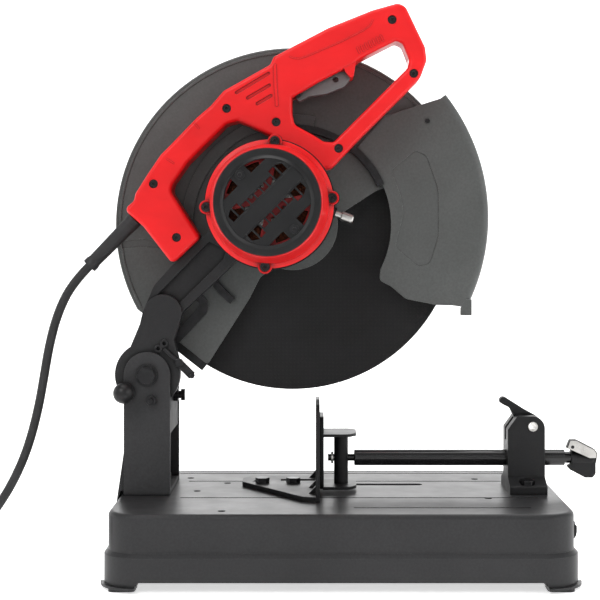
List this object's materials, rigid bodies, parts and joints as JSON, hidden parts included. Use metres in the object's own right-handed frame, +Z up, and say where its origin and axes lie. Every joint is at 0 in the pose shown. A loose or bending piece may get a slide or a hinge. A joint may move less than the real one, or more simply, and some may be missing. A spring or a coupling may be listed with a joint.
{
  "type": "abrasive chop saw",
  "caption": "Benchtop abrasive cut-off saw: a motor head on a sprung pivot lowers a guarded wheel onto work held by a fence and a screw vise.",
  "frame": {"origin": "on the floor, at the centre of the base's four bench-bolt holes", "axes": "+X along the base towards the vise crank, +Y from the motor towards the far side of the wheel, +Z up"},
  "size_m": [0.7748, 0.2934, 0.584],
  "materials": {
    "pan_paint": "satin",
    "post_paint": "satin",
    "cast_paint": "satin",
    "arm_alloy": "satin",
    "guard_paint": "satin",
    "red_plastic": "satin",
    "black_plastic": "matte",
    "grey_plastic": "matte",
    "abrasive": "rough",
    "bright_steel": "satin",
    "black_steel": "satin",
    "copper": "satin",
    "rubber": "matte"
  },
  "bodies": {
    "base": {"base_pan": "pan_paint", "rubber_feet": "rubber", "pivot_post": "post_paint", "pivot_bolt": "black_steel", "pivot_nut": "black_steel", "stop_bolt": "black_steel", "fence": "cast_paint", "vise_bracket": "cast_paint", "lever_pin": "bright_steel", "cord": "rubber", "cord_coil": "rubber", "plug": "rubber", "plug_blades": "bright_steel", "table_bolts": "black_steel"},
    "head": {"arm": "arm_alloy", "gear_case": "cast_paint", "gear_cover": "arm_alloy", "lock_bushing": "black_steel", "motor_housing": "red_plastic", "end_cap": "black_plastic", "stator": "copper", "brush_holders": "black_plastic", "front_bearing": "bright_steel", "rear_bearing": "bright_steel", "spindle_bearing": "bright_steel", "spindle_bush": "bright_steel", "upper_guard": "guard_paint", "guard_cover": "guard_paint", "guide_ring": "black_steel", "spark_deflector": "black_steel", "handle_near": "red_plastic", "handle_far": "red_plastic", "handle_screws": "black_steel", "trigger_pin": "black_steel", "switch_body": "black_plastic", "strain_relief": "rubber", "deflector_strap": "black_steel", "motor_screws": "black_steel"},
    "wheel": {"abrasive_wheel": "abrasive", "spindle": "bright_steel", "gear_wheel": "bright_steel", "inner_flange": "bright_steel", "outer_flange": "bright_steel", "arbor_bolt": "black_steel"},
    "rotor": {"armature_shaft": "bright_steel", "armature_core": "bright_steel", "commutator": "copper", "cooling_fan": "black_plastic", "pinion": "bright_steel"},
    "trigger": {"trigger": "grey_plastic"},
    "spindle_lock": {"spindle_lock": "bright_steel"},
    "front_guard": {"front_guard": "guard_paint", "front_guard_cover": "guard_paint", "front_guard_rivets": "black_steel"},
    "vise_jaw": {"vise_jaw": "cast_paint"},
    "vise_screw": {"vise_screw": "black_steel", "neck_clip": "bright_steel", "vise_crank": "cast_paint"},
    "vise_lever": {"vise_lever": "cast_paint"},
    "lock_pin": {"lock_pin": "black_plastic"}
  },
  "joints": [
    {"name": "head_pivot", "type": "hinge", "parent": "base", "child": "head", "pos_m": [-0.2, 0, 0.2], "axis": [0, 1, 0], "range_deg": [0, 35], "stiffness_Nm_per_rad": 20, "springref_deg": -68.75},
    {"name": "wheel_spin", "type": "hinge", "parent": "head", "child": "wheel", "pos_m": [-0.0498, 0.0375, 0.3565], "axis": [0, 1, 0], "continuous": true},
    {"name": "rotor_spin", "type": "hinge", "parent": "head", "child": "rotor", "pos_m": [-0.07133, -0.06, 0.37623], "axis": [0, 1, 0], "continuous": true},
    {"name": "trigger_pull", "type": "hinge", "parent": "head", "child": "trigger", "pos_m": [-0.0426, -0.02, 0.4903], "axis": [0, 1, 0], "range_deg": [-8, 0], "stiffness_Nm_per_rad": 0.3, "springref_deg": 17.19},
    {"name": "spindle_lock_push", "type": "slide", "parent": "head", "child": "spindle_lock", "axis": [-0.9397, 0, 0.342], "range_m": [0, 0.006], "stiffness_N_per_m": 200, "springref_m": -0.005},
    {"name": "front_guard_swing", "type": "hinge", "parent": "head", "child": "front_guard", "pos_m": [-0.0498, 0.0375, 0.3565], "axis": [0, 1, 0], "range_deg": [-51, 0]},
    {"name": "vise_slide", "type": "slide", "parent": "base", "child": "vise_jaw", "axis": [1, 0, 0], "range_m": [0, 0.15]},
    {"name": "crank_turn", "type": "hinge", "parent": "vise_jaw", "child": "vise_screw", "pos_m": [0, 0.009, 0.109], "axis": [1, 0, 0], "continuous": true},
    {"name": "vise_lever_flip", "type": "hinge", "parent": "base", "child": "vise_lever", "pos_m": [0.2033, 0.009, 0.144], "axis": [0, 1, 0], "range_deg": [0, 50]},
    {"name": "lock_pin_pull", "type": "slide", "parent": "base", "child": "lock_pin", "axis": [0, -1, 0], "range_m": [0, 0.008], "stiffness_N_per_m": 300, "springref_m": -0.01}
  ],
  "couplings": [
    {"joint": "rotor_spin", "follows": "wheel_spin", "ratio": -4.8},
    {"joint": "front_guard_swing", "follows": "head_pivot", "ratio": -1.45}
  ]
}
